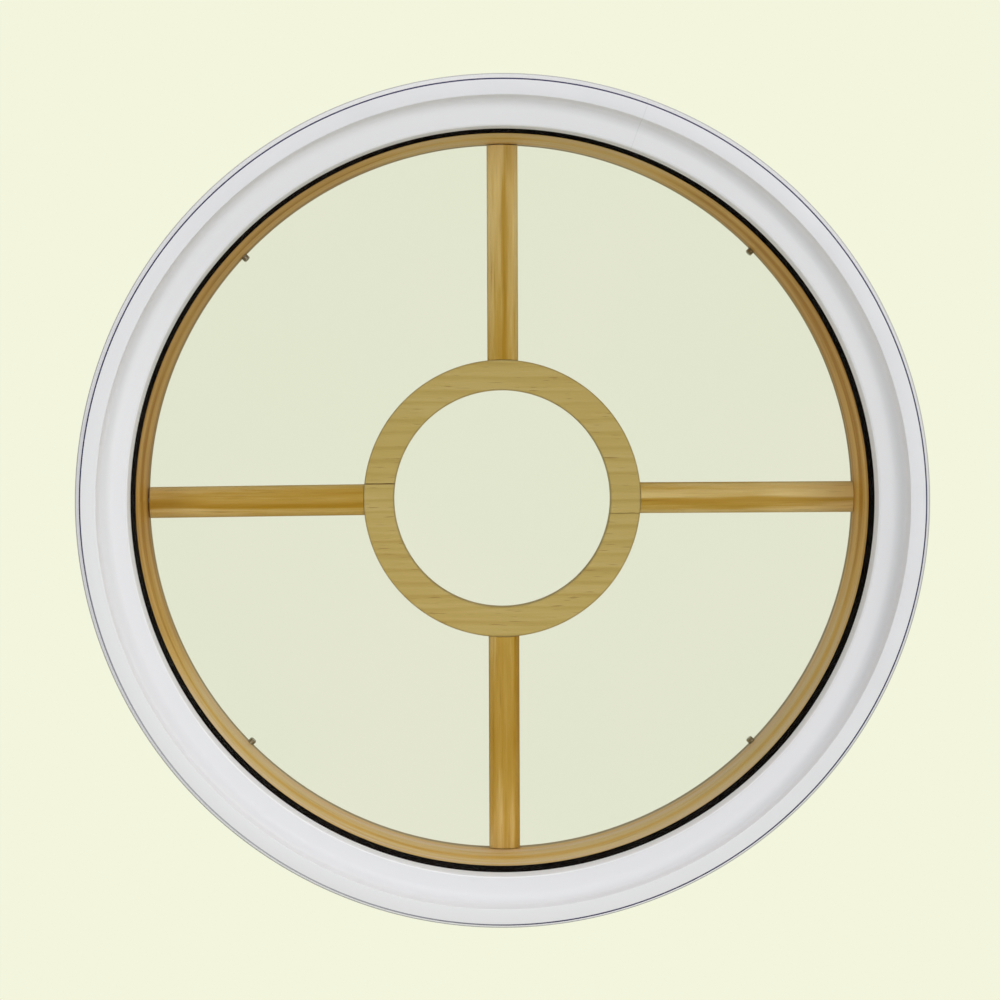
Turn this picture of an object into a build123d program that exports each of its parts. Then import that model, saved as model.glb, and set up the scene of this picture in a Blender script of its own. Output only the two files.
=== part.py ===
from build123d import *
import os
from math import radians, sin, sqrt

# A round picture window with its frame, in millimetres, for a wall outside the model.
# The window stands in the XZ plane with +Z up. Outdoors is -Y and the room is +Y.
# The origin is on the window's axis, in the plane of the wall behind the brickmould.

# Jamb: a ring bent and glued up from pine strips, with a rebate for the glass at its outdoor end
bore_radius = 287.5
jamb_thickness = 19.0
jamb_depth = 116.0
rebate_width = 9.5
jamb_edge_chamfer = 1.5

# Insulating glass unit
pane_thickness = 3.0
air_gap = 13.0
glass_setback = 12.0
glass_edge_gap = 2.0
tape_thickness = 1.6
tape_width = 6.0

# Spacer between the panes: a channel open towards the air gap, with a desiccant bead in it
spacer_inset = 0.5
spacer_height = 4.5
spacer_wall = 0.5
spacer_side_gap = 0.4
sealant_inset = 0.8
desiccant_height = 2.0

# Rubber blocks between the edge of the glass and the jamb
block_length = 60.0
block_side_clearance = 1.0
block_angles = [60, 120, 240, 300]

# Brickmould: a solid white moulding bent to a circle, with a tongue that holds the glass
moulding_projection = 30.0
reveal_step = 0.9
reveal_round = 2.2
inner_flat_width = 11.9
cove_radius = 8.5
cove_depth = 22.0
outer_flat_width = 12.7
outer_chamfer = 0.8
lip_reach = 7.2
lip_thickness = 5.0
tongue_clearance = 0.5
relief_offset = 4.0
relief_width = 8.0
relief_depth = 3.0

# Nails through the cove into the end of the jamb, with their heads filled over
nail_count = 6
nail_length = 38.0
nail_radius = 1.0
nail_head_radius = 1.6
nail_head_thickness = 1.2
nail_point_length = 2.5
nail_cover = 1.0

# Grille: four moulded bars round a flat ring, near the room end of the jamb
grille_setback = 4.0
grille_thickness = 12.0
bar_width = 25.0
bar_crown_width = 6.0
bar_fillet_width = 3.0
bar_cove_depth = 2.0
bar_end_gap = 0.6
ring_outer_radius = 113.0
ring_width = 24.8
ring_chamfer = 0.7

# Dowels inside the grille
bar_dowel_radius = 3.0
bar_dowel_in_ring = 10.0
bar_dowel_in_bar = 15.0
ring_dowel_radius = 2.5
ring_dowel_length = 16.0

# Spring pins at the ends of the bars, and four steel pins near the room edge of the jamb
end_pin_radius = 2.0
end_pin_in_bar = 18.0
end_pin_in_jamb = 5.0
stop_pin_radius = 2.8
stop_pin_reach = 4.5
stop_pin_in_jamb = 12.0
stop_pin_setback = 8.0
stop_pin_chamfer = 0.8
stop_pin_angles = [44.5, 136.5, 224, 315.5]

# Radii and depths that follow from the sizes above
jamb_radius = bore_radius + jamb_thickness
rebate_radius = bore_radius + rebate_width
glass_radius = rebate_radius - glass_edge_gap

outer_pane_front = glass_setback
air_front = outer_pane_front + pane_thickness
air_back = air_front + air_gap
inner_pane_back = air_back + pane_thickness
tongue_end = outer_pane_front - tape_thickness
rebate_depth = inner_pane_back + tape_thickness

spacer_inner_radius = bore_radius + spacer_inset
spacer_outer_radius = spacer_inner_radius + spacer_height

reveal_radius = bore_radius + reveal_step
cove_inner_radius = reveal_radius + inner_flat_width
cove_outer_radius = cove_inner_radius + cove_radius
face_radius = cove_outer_radius + outer_flat_width
face_front = -moulding_projection
cove_bottom = face_front + cove_depth

grille_back = jamb_depth - grille_setback
grille_front = grille_back - grille_thickness
grille_middle = (grille_front + grille_back) / 2
bar_end_radius = bore_radius - bar_end_gap
ring_inner_radius = ring_outer_radius - ring_width
ring_middle_radius = (ring_outer_radius + ring_inner_radius) / 2

bar_angles = {"right": 0, "top": 90, "left": 180, "bottom": 270}


def turned(section):
    # Section drawn with X as radius and Y as depth, turned round the window's axis
    return revolve(section, Axis.Y)


def square_ring(inner, outer, front, back):
    section = Pos((inner + outer) / 2, (front + back) / 2) * Rectangle(outer - inner, back - front)
    return turned(section)


def disc(radius, front, back):
    return square_ring(0, radius, front, back)


def around(shape, angle):
    # Carries a shape from +X towards +Z, seen from outdoors with +X to the right
    return Rot(0, -angle, 0) * shape


def rod(radius, start, end, depth):
    # Round bar along +X at the given depth
    return Pos((start + end) / 2, depth, 0) * Rot(0, 90, 0) * Cylinder(radius, end - start)


def group(solids):
    return Compound([solid for shape in solids for solid in shape.solids()])


def cove_surface(radius):
    # Depth of the cove's face at a radius between its two edges
    across = radius - cove_inner_radius
    return cove_bottom - cove_radius + sqrt(cove_radius ** 2 - across ** 2)


# Frame

nail_ring_radius = (rebate_radius + jamb_radius) / 2
nail_top = cove_surface(nail_ring_radius) + nail_cover


def nails():
    shank_end = nail_top + nail_length - nail_point_length
    outline = Polyline(
        (0, nail_top),
        (nail_head_radius, nail_top),
        (nail_head_radius, nail_top + nail_head_thickness),
        (nail_radius, nail_top + nail_head_thickness),
        (nail_radius, shank_end),
        (0, nail_top + nail_length),
        close=True,
    )
    nail = Pos(nail_ring_radius, 0, 0) * turned(make_face(outline))
    step = 360 / nail_count
    return [around(nail, step * (i + 0.5)) for i in range(nail_count)]


def nail_bores():
    # What the nails push aside behind their heads, straight back to the wall plane
    bore = Pos(nail_ring_radius, 0, 0) * disc(nail_head_radius, nail_top, nail_top + nail_head_thickness)
    bore += Pos(nail_ring_radius, 0, 0) * disc(nail_radius, nail_top, 0)
    step = 360 / nail_count
    return [around(bore, step * (i + 0.5)) for i in range(nail_count)]


def brickmould():
    tongue_radius = rebate_radius - tongue_clearance
    relief_inner = jamb_radius + relief_offset
    relief_outer = relief_inner + relief_width
    lip_radius = face_radius + lip_reach
    cove_edge = cove_bottom - cove_radius
    round_start = reveal_radius + reveal_round
    round_middle = reveal_round * (1 - sin(radians(45)))
    outline = Polyline(
        (reveal_radius, cove_bottom + reveal_round),
        (reveal_radius, tongue_end),
        (tongue_radius, tongue_end),
        (tongue_radius, 0),
        (relief_inner, 0),
        (relief_inner, -relief_depth),
        (relief_outer, -relief_depth),
        (relief_outer, 0),
        (lip_radius, 0),
        (lip_radius, -lip_thickness),
        (face_radius, -lip_thickness),
        (face_radius, face_front + outer_chamfer),
        (face_radius - outer_chamfer, face_front),
        (cove_outer_radius, face_front),
        (cove_outer_radius, cove_edge),
    )
    outline += RadiusArc((cove_outer_radius, cove_edge), (cove_inner_radius, cove_bottom), -cove_radius)
    outline += Line((cove_inner_radius, cove_bottom), (round_start, cove_bottom))
    outline += ThreePointArc(
        (round_start, cove_bottom),
        (reveal_radius + round_middle, cove_bottom + round_middle),
        (reveal_radius, cove_bottom + reveal_round),
    )
    ring = turned(make_face(outline))
    for bore in nail_bores():
        ring -= bore
    return ring


def jamb():
    outline = Polyline(
        (rebate_radius, 0),
        (jamb_radius, 0),
        (jamb_radius, jamb_depth - jamb_edge_chamfer),
        (jamb_radius - jamb_edge_chamfer, jamb_depth),
        (bore_radius + jamb_edge_chamfer, jamb_depth),
        (bore_radius, jamb_depth - jamb_edge_chamfer),
        (bore_radius, rebate_depth),
        (rebate_radius, rebate_depth),
        close=True,
    )
    ring = turned(make_face(outline))
    for fastener in nails() + end_pins() + stop_pins():
        ring -= fastener
    return ring


# Glazing

def glazing_tape(inner, front):
    return square_ring(inner, inner + tape_width, front, front + tape_thickness)


def spacer_channel():
    front = air_front + spacer_side_gap
    back = air_back - spacer_side_gap
    ring = square_ring(spacer_inner_radius, spacer_outer_radius, front, back)
    web_radius = spacer_outer_radius - spacer_wall
    return ring - square_ring(0, web_radius, front + spacer_wall, back - spacer_wall)


def desiccant_bead():
    web_radius = spacer_outer_radius - spacer_wall
    inset = spacer_side_gap + spacer_wall
    return square_ring(web_radius - desiccant_height, web_radius, air_front + inset, air_back - inset)


def edge_sealant():
    ring = square_ring(spacer_inner_radius + sealant_inset, glass_radius, air_front, air_back)
    return ring - square_ring(0, spacer_outer_radius, air_front + spacer_side_gap, air_back - spacer_side_gap)


def setting_blocks():
    front = outer_pane_front + block_side_clearance
    back = inner_pane_back - block_side_clearance
    ring = square_ring(glass_radius, rebate_radius, front, back)
    strip = Pos(rebate_radius, (front + back) / 2, 0) * Box(2 * rebate_radius, back - front, block_length)
    block = ring & strip
    return [around(block, angle) for angle in block_angles]


# Grille

def bar_section():
    # Seen along the bar, with X across it and Y through its thickness
    half_crown = bar_crown_width / 2
    half_flat = bar_width / 2 - bar_fillet_width
    top = grille_thickness / 2
    shoulder = top - bar_cove_depth
    outline = Line((-half_crown, top), (half_crown, top))
    outline += TangentArc((half_flat, shoulder), (half_crown, top), tangent=(-1, 0))
    outline += Polyline(
        (half_flat, shoulder),
        (bar_width / 2, shoulder),
        (bar_width / 2, -shoulder),
        (half_flat, -shoulder),
    )
    outline += TangentArc((half_flat, -shoulder), (half_crown, -top), tangent=(-1, 0))
    outline += Line((half_crown, -top), (-half_crown, -top))
    outline += TangentArc((-half_flat, -shoulder), (-half_crown, -top), tangent=(1, 0))
    outline += Polyline(
        (-half_flat, -shoulder),
        (-bar_width / 2, -shoulder),
        (-bar_width / 2, shoulder),
        (-half_flat, shoulder),
    )
    outline += TangentArc((-half_flat, shoulder), (-half_crown, top), tangent=(1, 0))
    return make_face(outline)


def bar():
    # Both ends are scribed: to the outside of the ring and to the bore of the jamb
    across = Plane(origin=(0, grille_middle, 0), x_dir=(0, 0, 1), z_dir=(1, 0, 0))
    blank = extrude(across * bar_section(), bore_radius)
    blank -= disc(ring_outer_radius, grille_front, grille_back)
    blank &= disc(bar_end_radius, grille_front, grille_back)
    return blank - bar_dowel() - end_pin()


def grille_ring():
    outline = Polyline(
        (ring_inner_radius, grille_front + ring_chamfer),
        (ring_inner_radius + ring_chamfer, grille_front),
        (ring_outer_radius - ring_chamfer, grille_front),
        (ring_outer_radius, grille_front + ring_chamfer),
        (ring_outer_radius, grille_back - ring_chamfer),
        (ring_outer_radius - ring_chamfer, grille_back),
        (ring_inner_radius + ring_chamfer, grille_back),
        (ring_inner_radius, grille_back - ring_chamfer),
        close=True,
    )
    return turned(make_face(outline))


def ring_half():
    # The upper half. Its left end stops at the top of the left bar, its right end at the
    # bottom of the right bar, so the same half turned end for end makes the lower one.
    reach = 2 * ring_outer_radius
    depth = 2 * grille_thickness
    left = Pos(-reach / 2, grille_middle, (bar_width + reach) / 2) * Box(reach, depth, reach)
    right = Pos(reach / 2, grille_middle, (reach - bar_width) / 2) * Box(reach, depth, reach)
    half = grille_ring() & (left + right)
    for dowel in [around(bar_dowel(), angle) for angle in bar_angles.values()] + ring_dowels():
        half -= dowel
    return half


def bar_dowel():
    start = ring_outer_radius - bar_dowel_in_ring
    return rod(bar_dowel_radius, start, ring_outer_radius + bar_dowel_in_bar, grille_middle)


def ring_dowels():
    # One across each joint of the ring, standing along Z
    dowel = Pos(ring_middle_radius, grille_middle, -bar_width / 2) * Cylinder(ring_dowel_radius, ring_dowel_length)
    return [dowel, around(dowel, 180)]


def end_pin():
    return rod(end_pin_radius, bar_end_radius - end_pin_in_bar, bore_radius + end_pin_in_jamb, grille_middle)


def end_pins():
    return [around(end_pin(), angle) for angle in bar_angles.values()]


def stop_pins():
    depth = jamb_depth - stop_pin_setback
    start = bore_radius - stop_pin_reach
    pin = rod(stop_pin_radius, start, bore_radius + stop_pin_in_jamb, depth)
    tip = pin.edges().group_by(Axis.X)[0]
    pin = chamfer(tip, stop_pin_chamfer)
    return [around(pin, angle) for angle in stop_pin_angles]


def nodes():
    upper = ring_half()
    parts = {
        "brickmould": brickmould(),
        "brickmould_nails": group(nails()),
        "jamb": jamb(),
        "outer_glazing_tape": glazing_tape(reveal_radius, tongue_end),
        "outer_pane": disc(glass_radius, outer_pane_front, air_front),
        "spacer_channel": spacer_channel(),
        "desiccant_bead": desiccant_bead(),
        "edge_sealant": edge_sealant(),
        "inner_pane": disc(glass_radius, air_back, inner_pane_back),
        "inner_glazing_tape": glazing_tape(bore_radius, inner_pane_back),
        "setting_blocks": group(setting_blocks()),
        "grille_ring_upper": upper,
        "grille_ring_lower": around(upper, 180),
        "grille_bar_dowels": group([around(bar_dowel(), angle) for angle in bar_angles.values()]),
        "grille_ring_dowels": group(ring_dowels()),
        "grille_end_pins": group(end_pins()),
        "stop_pins": group(stop_pins()),
    }
    for name, angle in bar_angles.items():
        parts["grille_bar_" + name] = around(bar(), angle)
    return parts


os.makedirs("parts", exist_ok=True)
for name, shape in nodes().items():
    export_step(shape, "parts/" + name + ".step")
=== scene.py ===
import math

import bmesh
import bpy
from mathutils import Matrix, Quaternion, Vector


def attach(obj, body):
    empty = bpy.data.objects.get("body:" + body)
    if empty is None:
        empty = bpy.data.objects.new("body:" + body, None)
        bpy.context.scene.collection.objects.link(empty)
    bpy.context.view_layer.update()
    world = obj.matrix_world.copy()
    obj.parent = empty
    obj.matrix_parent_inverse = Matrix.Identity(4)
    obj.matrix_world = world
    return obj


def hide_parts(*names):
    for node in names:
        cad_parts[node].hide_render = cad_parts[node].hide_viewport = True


# Round window with its frame, seen from outdoors. The window stands in the XZ plane with +Z up,
# outdoors is -Y and the room is +Y. Sizes are in millimetres until mm turns them into metres.

mm = 0.001
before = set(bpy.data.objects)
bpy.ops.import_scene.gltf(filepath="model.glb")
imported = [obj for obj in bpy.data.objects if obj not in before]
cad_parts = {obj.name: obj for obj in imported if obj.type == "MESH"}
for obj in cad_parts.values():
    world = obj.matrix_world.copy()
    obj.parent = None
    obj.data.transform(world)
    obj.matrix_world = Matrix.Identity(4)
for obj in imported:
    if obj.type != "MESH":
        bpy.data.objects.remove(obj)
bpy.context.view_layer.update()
print("frame loaded with", len(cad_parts), "nodes")


# Small tools

def linearColour(hexText):
    channels = [int(hexText[i:i + 2], 16) / 255 for i in (0, 2, 4)]
    linear = [c / 12.92 if c <= 0.04045 else ((c + 0.055) / 1.055) ** 2.4 for c in channels]
    return (*linear, 1.0)


def addNode(tree, kind, inputs=None, **settings):
    # inputs: by name or number, a socket or a node's first output to link, a colour in sRGB hex or
    # a plain value
    node = tree.nodes.new(kind)
    for name, value in settings.items():
        setattr(node, name, value)
    for key, value in (inputs or {}).items():
        if isinstance(value, bpy.types.Node):
            value = value.outputs[0]
        if isinstance(value, bpy.types.NodeSocket):
            tree.links.new(value, node.inputs[key])
        elif isinstance(value, str):
            node.inputs[key].default_value = linearColour(value)
        else:
            node.inputs[key].default_value = value
    return node


def maths(tree, operation, *values):
    return addNode(tree, "ShaderNodeMath", dict(enumerate(values)), operation=operation)


def blend(tree, share, first, second, mode="MIX"):
    # The second colour over the first, by its share
    sockets = {0: share, 6: first, 7: second}
    return addNode(tree, "ShaderNodeMix", sockets, data_type="RGBA", blend_type=mode).outputs[2]


def mapped(tree, value, low, high, toLow=0.0, toHigh=1.0, kind="LINEAR"):
    # low to high becomes toLow to toHigh, held at both ends
    sockets = {0: value, 1: low, 2: high, 3: toLow, 4: toHigh}
    return addNode(tree, "ShaderNodeMapRange", sockets, interpolation_type=kind)


def toneRamp(tree, place, stops, kind="LINEAR"):
    # stops: (place, tone) from left to right; a tone is sRGB hex, or a grey from 0 to 1
    ramp = addNode(tree, "ShaderNodeValToRGB", {0: place})
    ramp.color_ramp.interpolation = kind
    points = ramp.color_ramp.elements
    while len(points) < len(stops):
        points.new(1.0)
    for point, (stop, tone) in zip(points, stops):
        point.position = stop
        point.color = linearColour(tone) if isinstance(tone, str) else (tone, tone, tone, 1.0)
    return ramp


def cloudNoise(tree, place, size, detail, roughness=0.5):
    # Noise in cells of size mm
    return addNode(tree, "ShaderNodeTexNoise", {
        "Vector": place, "Scale": 1 / (size * mm), "Detail": detail, "Roughness": roughness,
    }).outputs["Fac"]


def vectorValue(tree, operation, *vectors):
    node = addNode(tree, "ShaderNodeVectorMath", dict(enumerate(vectors)), operation=operation)
    return node.outputs["Value"]


def objectPlace(tree):
    return addNode(tree, "ShaderNodeTexCoord").outputs["Object"]


def placeRound(tree, place):
    # The place within the window's plane, its distance from the axis, and x, y and z, all in metres
    x, y, z = addNode(tree, "ShaderNodeSeparateXYZ", {0: place}).outputs[:3]
    flat = addNode(tree, "ShaderNodeCombineXYZ", {0: x, 1: 0.0, 2: z}).outputs[0]
    return flat, vectorValue(tree, "LENGTH", flat), (x, y, z)


def newMaterial(name):
    material = bpy.data.materials.new(name)
    material.use_nodes = True
    material.node_tree.nodes.clear()
    return material, material.node_tree


def showShader(tree, shader):
    addNode(tree, "ShaderNodeOutputMaterial", {"Surface": shader})


def mixShaders(tree, share, first, second):
    return addNode(tree, "ShaderNodeMixShader", {0: share, 1: first, 2: second})


def bumpedFinish(tree, height, strength, bumpSize, inputs):
    # bumpSize: the bump's full height in mm
    bump = addNode(tree, "ShaderNodeBump", {
        "Height": height, "Strength": strength, "Distance": bumpSize * mm,
    })
    showShader(tree, addNode(tree, "ShaderNodeBsdfPrincipled", {**inputs, "Normal": bump}))


def newObject(name, mesh):
    made = bpy.data.objects.new(name, mesh)
    bpy.context.scene.collection.objects.link(made)
    return made


def finishPiece(piece, slotName, *cadNodes, sharpAngle=32):
    # Smooth rounds, crisp arrises, then its place in the frame
    for face in piece.data.polygons:
        face.use_smooth = True
    piece.data.set_sharp_from_angle(angle=math.radians(sharpAngle))
    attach(piece, "root")
    if cadNodes:
        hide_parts(*cadNodes)


def plainMesh(piece):
    # The tree's result becomes the mesh itself
    depsgraph = bpy.context.evaluated_depsgraph_get()
    result = bpy.data.meshes.new_from_object(piece.evaluated_get(depsgraph))
    piece.modifiers.clear()
    piece.data = result


def runTree(piece, tree, inputs):
    # Every input is set before the tree is first evaluated
    modifier = piece.modifiers.new(tree.name, "NODES")
    modifier.node_group = tree
    for item in tree.interface.items_tree:
        if item.item_type == "SOCKET" and item.in_out == "INPUT" and item.name in inputs:
            modifier[item.identifier] = inputs[item.name]
    plainMesh(piece)
    return piece


def newTree(name, sockets):
    # sockets: name and kind of each input; a number that is never set stays 0
    tree = bpy.data.node_groups.new(name, "GeometryNodeTree")
    tree.interface.new_socket("Geometry", in_out="OUTPUT", socket_type="NodeSocketGeometry")
    for label, kind in {"Geometry": "Geometry", **sockets}.items():
        tree.interface.new_socket(label, in_out="INPUT", socket_type="NodeSocket" + kind)
    return tree, tree.nodes.new("NodeGroupInput").outputs


def endTree(tree, geometry, material):
    # Every tree ends in plain geometry with its material
    whole = addNode(tree, "GeometryNodeRealizeInstances", {0: geometry})
    coated = addNode(tree, "GeometryNodeSetMaterial", {"Geometry": whole, "Material": material})
    addNode(tree, "NodeGroupOutput", {0: coated})


def roundCorners(corners, steps=4):
    # corners: (x, y, radius), anticlockwise; a radius of 0 keeps the corner as it is
    outline = []
    for i, (x, y, radius) in enumerate(corners):
        here = Vector((x, y))
        if radius == 0:
            outline.append(here)
            continue
        before = (Vector(corners[i - 1][:2]) - here).normalized()
        after = (Vector(corners[(i + 1) % len(corners)][:2]) - here).normalized()
        half = before.angle(after) / 2
        centre = here + (before + after).normalized() * (radius / math.sin(half))
        start = here + before * (radius / math.tan(half)) - centre
        end = here + after * (radius / math.tan(half)) - centre
        first = math.atan2(start.y, start.x)
        turn = (math.atan2(end.y, end.x) - first + math.pi) % (2 * math.pi) - math.pi
        for step in range(steps + 1):
            angle = first + turn * step / steps
            outline.append(centre + Vector((math.cos(angle), math.sin(angle))) * radius)
    return outline


# Pine, shared by the jamb and the grille: straight-grained softwood, planed and sanded, with a thin
# clear coat. The eye gets warm year rings, fine fibres and a few brown resin streaks.

pineGrain = {
    "waveAcross": 26, "deepWaveShare": 0.8, "deepWaveAcross": 22, "bandLength": 160, "bandWidth": 7,
    "fibreLength": 32, "streakFrom": 0.66, "streakTo": 0.74, "ringSink": -0.3,
    "ringTones": [(0.0, 0.0), (0.45, 0.12), (0.82, 1.0), (1.0, 0.0)],
    "bumpStrength": 0.25, "coatIndex": 1.5,
}

jambPine = {
    "early": "f8dfc0", "middle": "f3cb80", "late": "c6913e", "streak": "966a30", "tone": 0.36,
    "waveLength": 420, "waveSize": 16, "pithAcross": -85, "pithDepth": 215, "ringWidth": 31.0,
    "ringContrast": 0.34, "bandContrast": 0.9, "fibreWidth": 3.4, "fibreContrast": 0.45,
    "streakLength": 90, "streakWidth": 2.6, "streakDepth": 0.5,
    # Painted light and shade of the bore, set round the circle as a tone
    "shadeRound": [
        (0.0, 0.88), (0.055, 0.7), (0.1, 0.22), (0.25, 0.26), (0.32, 0.2), (0.375, 0.2), (0.43, 0.22),
        (0.5, 0.7), (0.58, 0.86), (0.65, 0.76), (0.7, 0.34), (0.78, 0.36), (0.83, 0.74), (0.92, 0.82),
        (1.0, 0.88),
    ],
    "shadeMean": 0.5,
    "bandDepths": [
        (20.0, "ffffff"), (38.0, "fffef0"), (52.0, "fffcd4"), (66.0, "fff8c2"), (80.0, "fffcd2"),
        (98.0, "fffef0"),
    ],
    "grainRadius": 290.0, "boardDepth": 116.0, "greyFrom": 104.0, "greyTo": 108.0, "greyShare": 0.7,
    "edgeGrey": "8b8262", "roughness": 0.6, "gloss": 0.12, "bumpSize": 0.25,
}

ringPine = {
    "early": "e6cf8d", "middle": "d7bd70", "late": "c0a152", "streak": "8e6430", "tone": 0.42,
    "waveLength": 120, "waveSize": 9, "pithAcross": -210, "pithDepth": 60, "ringWidth": 11.0,
    "ringContrast": 0.26, "bandContrast": 0.6, "fibreWidth": 1.3, "fibreContrast": 0.3,
    "streakLength": 16, "streakWidth": 1.4, "streakDepth": 0.5,
}

barPine = {
    "early": "f8dd97", "middle": "d4ad4f", "late": "bf9123", "streak": "966a28", "tone": 0.15,
    "waveLength": 150, "waveSize": 14, "pithAcross": -70, "pithDepth": 30, "ringWidth": 17.0,
    "ringContrast": 0.62, "bandContrast": 1.1, "fibreWidth": 1.2, "fibreContrast": 0.45,
    "streakLength": 40, "streakWidth": 1.3, "streakDepth": 0.35,
}

grilleFinish = {
    "edgeGrey": "7d7358", "edgeShare": 0.4, "glueLine": "5a3f1c",
    "roughness": 0.55, "gloss": 0.2, "bumpSize": 0.2,
}


def pineNodes(tree, grain, look, boardAndShade):
    # grain: vector in mm, X along the fibres; the board tone: how much darker one board is than the next,
    # painted light and shade included where it is set so; gives the colour and a height for the bump
    across, depth = addNode(tree, "ShaderNodeSeparateXYZ", {0: grain}).outputs[1:3]

    def stretched(alongSize, acrossSize, detail, seed):
        # Noise whose cells are alongSize by acrossSize in mm
        scaled = addNode(tree, "ShaderNodeMapping", {
            "Vector": grain,
            "Location": (seed * 3.7, seed * 1.3, seed * 2.1),
            "Scale": (1 / alongSize, 1 / acrossSize, 1 / acrossSize),
        })
        return addNode(tree, "ShaderNodeTexNoise", {
            "Vector": scaled, "Scale": 1.0, "Detail": detail, "Roughness": 0.55,
        }).outputs["Fac"]

    def fromPith(place, pith, wave):
        return maths(tree, "MULTIPLY_ADD", wave, look["waveSize"], maths(tree, "SUBTRACT", place, pith))

    # Year rings about a pith outside the board, bent by slow waves along the grain
    wave = stretched(look["waveLength"], pineGrain["waveAcross"], 1.0, 1)
    deepLength = look["waveLength"] * pineGrain["deepWaveShare"]
    deepWave = stretched(deepLength, pineGrain["deepWaveAcross"], 1.0, 2)
    sideways = fromPith(across, look["pithAcross"], wave)
    deep = fromPith(depth, look["pithDepth"], deepWave)
    pithReach = vectorValue(tree, "LENGTH", addNode(tree, "ShaderNodeCombineXYZ", {0: sideways, 1: deep}))
    phase = maths(tree, "FRACT", maths(tree, "DIVIDE", pithReach, look["ringWidth"]))
    rings = toneRamp(tree, phase, pineGrain["ringTones"], "EASE")
    ringTone = maths(tree, "MULTIPLY", rings, look["ringContrast"])

    # Broad bands, fine fibres and short resin streaks
    band = maths(tree, "SUBTRACT", stretched(pineGrain["bandLength"], pineGrain["bandWidth"], 2.0, 3), 0.5)
    banded = maths(tree, "MULTIPLY_ADD", band, look["bandContrast"], ringTone)
    fibre = maths(tree, "SUBTRACT", stretched(pineGrain["fibreLength"], look["fibreWidth"], 2.0, 4), 0.5)
    fibreTone = maths(tree, "MULTIPLY", fibre, look["fibreContrast"])
    figure = maths(tree, "ADD", maths(tree, "ADD", banded, fibreTone), look["tone"])
    colour = toneRamp(tree, maths(tree, "ADD", figure, boardAndShade), [
        (0.0, look["early"]), (0.5, look["middle"]), (1.0, look["late"]),
    ])
    streak = mapped(
        tree, stretched(look["streakLength"], look["streakWidth"], 1.0, 5),
        pineGrain["streakFrom"], pineGrain["streakTo"], 0.0, look["streakDepth"])
    height = maths(tree, "ADD", fibreTone, maths(tree, "MULTIPLY", ringTone, pineGrain["ringSink"]))
    return blend(tree, streak, colour, look["streak"]), height


def pineShader(tree, colour, height, finish):
    bumpedFinish(tree, height, pineGrain["bumpStrength"], finish["bumpSize"], {
        "Base Color": colour, "Roughness": finish["roughness"], "IOR": pineGrain["coatIndex"],
        "Specular IOR Level": finish["gloss"],
    })


def grillePine(name, look):
    # The grain attribute says where the sawn board lay and the board tone how dark it is, painted light
    # and shade included; edge marks the arrises and the bar ends, which are greyed, and glue the dark line
    # at a joint
    material, tree = newMaterial(name)

    def mark(label, output="Fac"):
        return addNode(tree, "ShaderNodeAttribute", attribute_name=label).outputs[output]

    # The board tone carries painted light and shade as well as each board's own tone
    colour, height = pineNodes(tree, mark("grain", "Vector"), look, mark("boardAndShade"))
    edge = maths(tree, "MULTIPLY", mark("edge"), grilleFinish["edgeShare"])
    greyed = blend(tree, edge, colour, grilleFinish["edgeGrey"])
    pineShader(tree, blend(tree, mark("glue"), greyed, grilleFinish["glueLine"]), height, grilleFinish)
    return material


def jambPineMaterial(look):
    # Strips bent round and glued: the fibres follow the circle, so the grain is read round the axis
    # and breaks off where the strips close, behind the left bar
    material, tree = newMaterial("pine_bent_jamb")
    radius, (x, y, z) = placeRound(tree, objectPlace(tree))[1:]
    angle = maths(tree, "ARCTAN2", z, x)
    along = maths(tree, "MULTIPLY", angle, look["grainRadius"])
    across = maths(tree, "MULTIPLY", y, 1 / mm)
    depth = maths(tree, "MULTIPLY", radius, 1 / mm)
    grain = addNode(tree, "ShaderNodeCombineXYZ", {0: along, 1: across, 2: depth})
    # Painted light and shade round the bore: lighter along the bottom and the top, darker at the
    # sides and the upper corners; the stops run anticlockwise from -X
    turn = mapped(tree, angle, -math.pi, math.pi)
    shadeRound = toneRamp(tree, turn, look["shadeRound"], "EASE")
    boardAndShade = maths(tree, "SUBTRACT", shadeRound, look["shadeMean"])
    colour, height = pineNodes(tree, grain, look, boardAndShade)
    # Heartwood runs round the middle of the strips' width and warms it
    bandShare = maths(tree, "MULTIPLY", across, 1 / look["boardDepth"])
    bandStops = [(reach / look["boardDepth"], tint) for reach, tint in look["bandDepths"]]
    warmed = blend(tree, 1.0, colour, toneRamp(tree, bandShare, bandStops, "EASE"), "MULTIPLY")
    # The last 12 mm before the room edge turn grey-olive
    greyed = mapped(tree, across, look["greyFrom"], look["greyTo"], 0.0, look["greyShare"])
    pineShader(tree, blend(tree, greyed, warmed, look["edgeGrey"]), height, look)
    return material


# Brickmould: cellular PVC, moulded and skinned, bent warm. The eye gets a cool white with a soft
# sheen and a very fine orange peel; painted light makes its white lighter towards the lower left.

brickmouldSizes = {
    "turningRadius": 300, "segments": 432,
    "revealRadius": 288.4, "revealRound": 2.2, "tongueRadius": 296.5, "tongueEnd": 10.4,
    "coveInner": 300.3, "coveRadius": 8.5, "coveBottom": -8.0, "coveSteps": 14, "arrisRound": 0.6,
    "faceRadius": 321.5, "faceFront": -30.0, "faceRound": 0.8, "innerRound": 0.4,
    "lipRadius": 328.7, "lipThickness": 5.0, "lipRound": 0.6,
    "reliefInner": 310.5, "reliefOuter": 318.5, "reliefDepth": 3.0, "backRound": 0.3,
    "seamAngle": 70.0, "seamHalfWidth": 0.35,
}

# Painted light and shade in the white: lighter towards the lower left, a lighter recess, cove wall and
# reveal, and painted shadow lines at the face's outer edge and the lip's rim
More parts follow.
